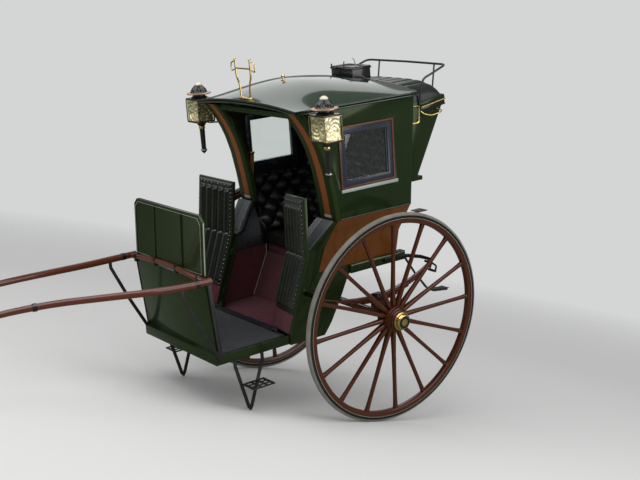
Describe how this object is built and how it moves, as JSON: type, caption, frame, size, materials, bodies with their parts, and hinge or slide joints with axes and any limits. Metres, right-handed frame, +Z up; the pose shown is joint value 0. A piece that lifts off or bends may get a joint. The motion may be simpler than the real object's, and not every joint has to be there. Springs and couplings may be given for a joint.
{
  "type": "horse drawn carriage",
  "caption": "Horse-drawn cab with a closed body open at the front, swinging front doors, shafts and a high rear driver's seat.",
  "frame": {"origin": "ground level at the middle of the plan, with the cab parked on its tyres and prop irons", "axes": "+Z up, -Y forwards towards the horse, +X to the cab's left side"},
  "size_m": [1.7336, 3.595, 2.4388],
  "materials": {
    "black_iron": "satin black paint",
    "black_leather": "satin",
    "brass": "polished",
    "brown_lined": "gloss varnish",
    "clear_glass": "polished",
    "green_gloss": "gloss paint",
    "grey_mat": "matt",
    "grey_rubber": "matt",
    "maroon_gloss": "gloss paint",
    "mauve_carpet": "matt pile",
    "navy_sash": "satin paint"
  },
  "bodies": {
    "cab": {"axle": "maroon_gloss", "back_panel": "green_gloss", "backrest": "black_leather", "bearer_rail_left": "green_gloss", "bearer_rail_right": "green_gloss", "body_side_left": "green_gloss", "body_side_right": "green_gloss", "cross_bar": "maroon_gloss", "dash": "green_gloss", "driver_box": "green_gloss", "driver_cushion": "black_leather", "driver_step_left": "black_iron", "driver_step_right": "black_iron", "elbow_cap_left": "black_leather", "elbow_cap_right": "black_leather", "floor_mat": "grey_mat", "footwell_floor": "mauve_carpet", "footwell_side_left": "green_gloss", "footwell_side_right": "green_gloss", "front_board": "green_gloss", "front_frame": "green_gloss", "hatch_coaming": "black_iron", "lamp_glass_left": "clear_glass", "lamp_glass_right": "clear_glass", "lamp_left": "black_iron", "lamp_right": "black_iron", "lower_panel_left": "brown_lined", "lower_panel_right": "brown_lined", "prop_step_left": "black_iron", "prop_step_right": "black_iron", "rein_rail": "brass", "roof": "green_gloss", "seat_box": "mauve_carpet", "seat_cushion": "black_leather", "seat_rail": "black_iron", "shaft_iron_left": "black_iron", "shaft_iron_right": "black_iron", "shaft_left": "maroon_gloss", "shaft_right": "maroon_gloss", "spring_left": "maroon_gloss", "spring_right": "maroon_gloss", "toe_board": "green_gloss", "window_frame_left": "navy_sash", "window_frame_right": "navy_sash", "window_glass_left": "clear_glass", "window_glass_right": "clear_glass"},
    "wheel_left": {"wheel_left": "maroon_gloss", "tyre_left": "grey_rubber"},
    "wheel_right": {"wheel_right": "maroon_gloss", "tyre_right": "grey_rubber"},
    "door_left": {"door_panel_left": "green_gloss", "door_pad_left": "black_leather"},
    "door_right": {"door_panel_right": "green_gloss", "door_pad_right": "black_leather"},
    "hatch": {"roof_hatch": "black_iron"}
  },
  "joints": [
    {"name": "wheel_left_spin", "type": "hinge", "parent": "cab", "child": "wheel_left", "pos_m": [0.753, 1.08784, 0.70913], "axis": [0.9979, 0.0181, -0.0619], "continuous": true},
    {"name": "wheel_right_spin", "type": "hinge", "parent": "cab", "child": "wheel_right", "pos_m": [-0.753, 1.08784, 0.70913], "axis": [-0.9979, 0.0181, -0.0619], "continuous": true},
    {"name": "door_left_swing", "type": "hinge", "parent": "cab", "child": "door_left", "pos_m": [0.34, 0.44952, 0.512], "axis": [0, 0.0645, 0.9979], "range_deg": [-165, 0]},
    {"name": "door_right_swing", "type": "hinge", "parent": "cab", "child": "door_right", "pos_m": [-0.34, 0.44952, 0.512], "axis": [0, -0.0645, -0.9979], "range_deg": [-165, 0]},
    {"name": "roof_hatch_lift", "type": "hinge", "parent": "cab", "child": "hatch", "pos_m": [0, 0.90182, 2.27832], "axis": [1, 0, 0], "range_deg": [0, 95]}
  ]
}
